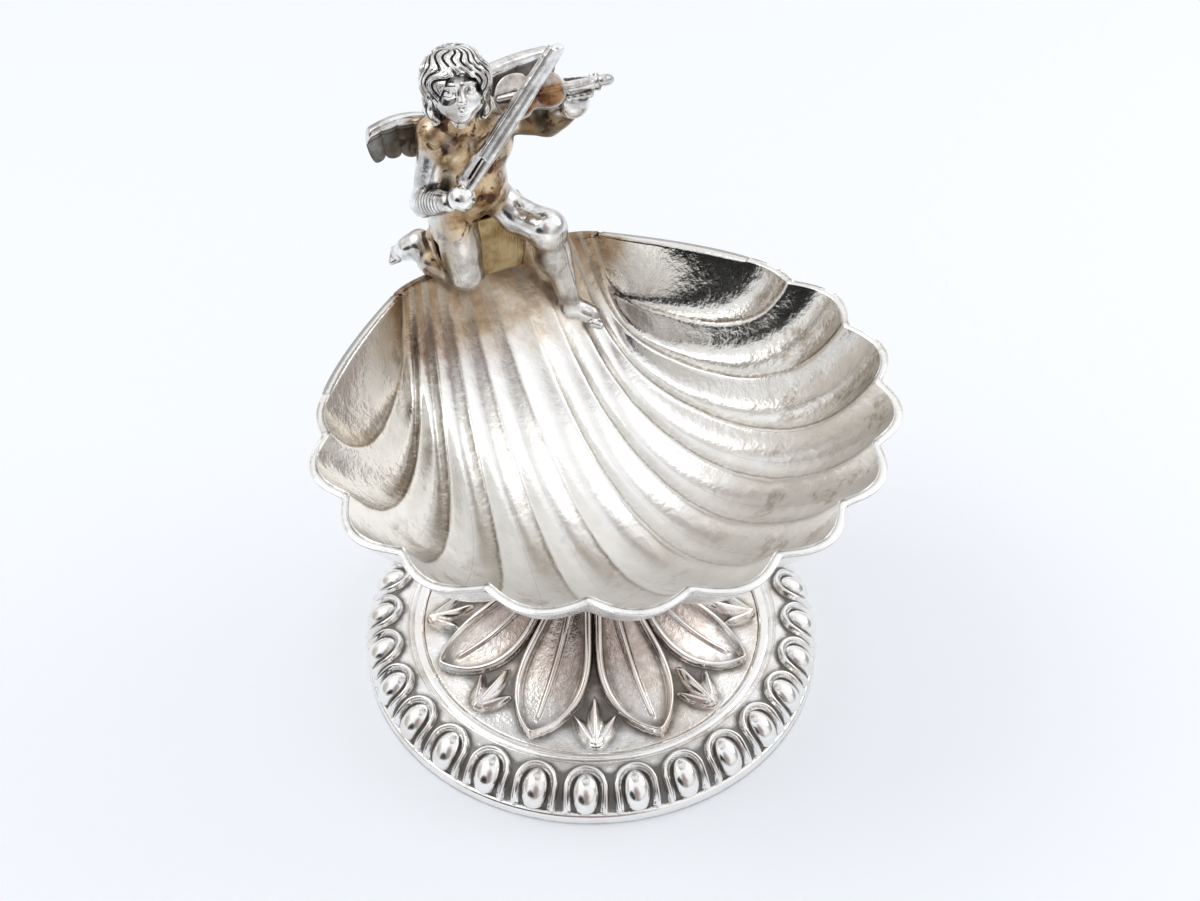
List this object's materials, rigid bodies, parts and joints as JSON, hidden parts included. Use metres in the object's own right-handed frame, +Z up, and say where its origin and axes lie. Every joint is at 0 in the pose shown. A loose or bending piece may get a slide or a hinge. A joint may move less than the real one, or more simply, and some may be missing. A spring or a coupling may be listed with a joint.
{
  "type": "salt cellar",
  "caption": "Open salt cellar: a fluted scallop-shell bowl on a domed round foot chased with leaves, with a winged child playing a violin on the shell's hinge.",
  "frame": {"origin": "centre of the foot's open mouth, inside the rim band, on the table", "axes": "+Z up; the shell opens towards -Y and its hinge with the figure lies towards +Y; +X is on the right when seen from the front"},
  "size_m": [0.0694, 0.0699, 0.0801],
  "materials": {
    "silver": "old polished silver with dark tarnish in the recesses",
    "gilt_silver": "soft pale champagne sheen of worn gilding",
    "toned_silver": "golden brown toning over silver",
    "brass_block": "dull olive yellow",
    "steel": "plain turned metal, hidden under the foot"
  },
  "bodies": {
    "root": {"rim_band": "silver", "foot": "silver", "ring_wire": "silver", "stem_collar": "silver", "stem": "silver", "shell_boss": "silver", "head": "silver", "right_arm": "silver", "left_arm": "silver", "right_leg": "silver", "left_leg": "silver", "right_wing": "silver", "left_wing": "silver", "bow_stick": "silver", "shell_bowl": "gilt_silver", "torso": "toned_silver", "violin_body": "toned_silver", "violin_neck": "silver", "bow_hair": "silver", "seat_block": "brass_block", "figure_peg": "brass_block", "tie_rod": "steel", "clamp_washer": "steel", "clamp_nut": "steel"}
  },
  "joints": []
}
